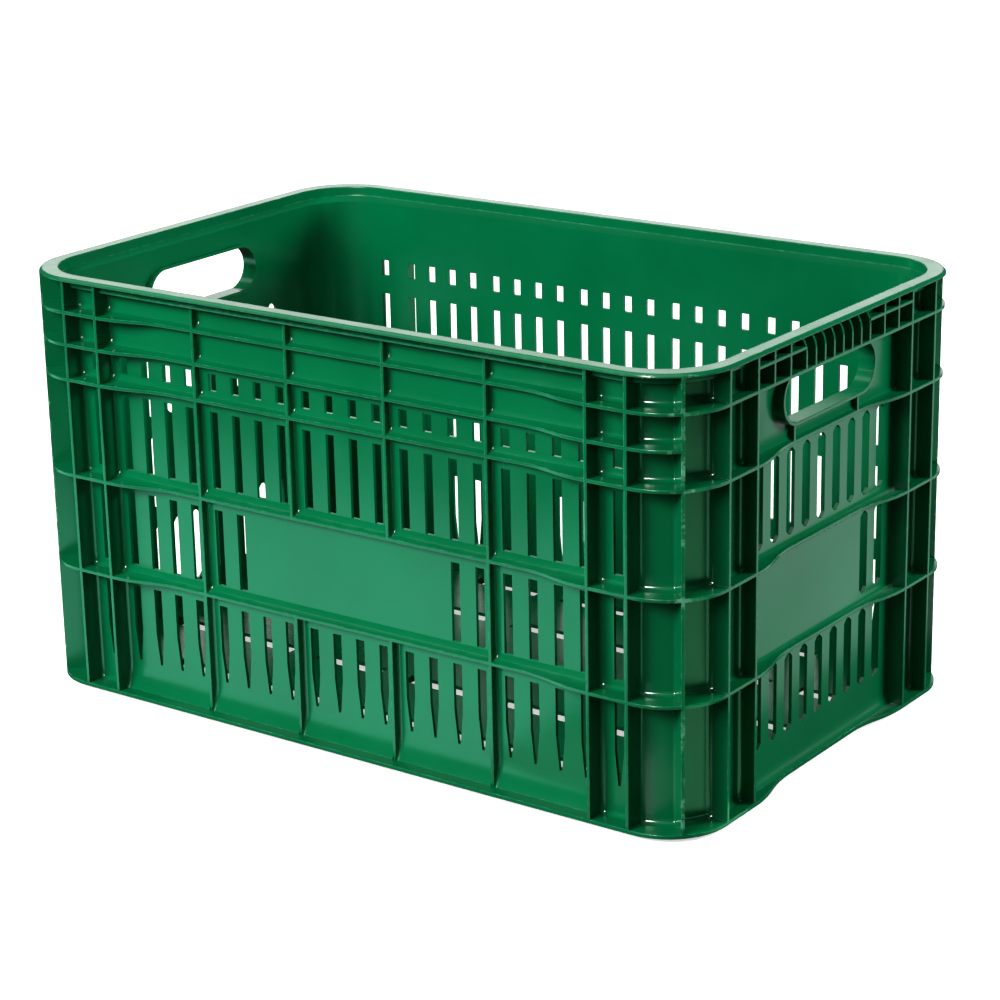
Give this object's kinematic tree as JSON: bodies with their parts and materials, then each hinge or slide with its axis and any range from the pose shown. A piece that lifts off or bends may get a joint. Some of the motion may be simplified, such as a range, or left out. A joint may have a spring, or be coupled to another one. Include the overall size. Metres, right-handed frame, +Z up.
{
  "type": "plastic produce crate",
  "caption": "Open-topped ribbed plastic crate with slotted walls, deep ribbed corners, hand holes with finger grips and a stacking rim, for picking and carrying fruit and vegetables.",
  "frame": {"origin": "centre of the footprint, on the surface the crate stands on", "axes": "+X along the length towards the right end wall, +Y towards the rear long wall, +Z up"},
  "size_m": [0.556, 0.36, 0.303],
  "materials": {
    "green_plastic": "semi-gloss moulded polyolefin, coloured through"
  },
  "bodies": {
    "root": {"floor": "green_plastic", "front_wall": "green_plastic", "rear_wall": "green_plastic", "left_end_wall": "green_plastic", "right_end_wall": "green_plastic", "front_left_corner_post": "green_plastic", "front_right_corner_post": "green_plastic", "rear_left_corner_post": "green_plastic", "rear_right_corner_post": "green_plastic", "front_base_skirt": "green_plastic", "rear_base_skirt": "green_plastic", "left_base_skirt": "green_plastic", "right_base_skirt": "green_plastic", "front_rim": "green_plastic", "rear_rim": "green_plastic", "left_rim": "green_plastic", "right_rim": "green_plastic", "left_hand_hole_collar": "green_plastic", "right_hand_hole_collar": "green_plastic", "left_finger_grip": "green_plastic", "right_finger_grip": "green_plastic"}
  },
  "joints": []
}
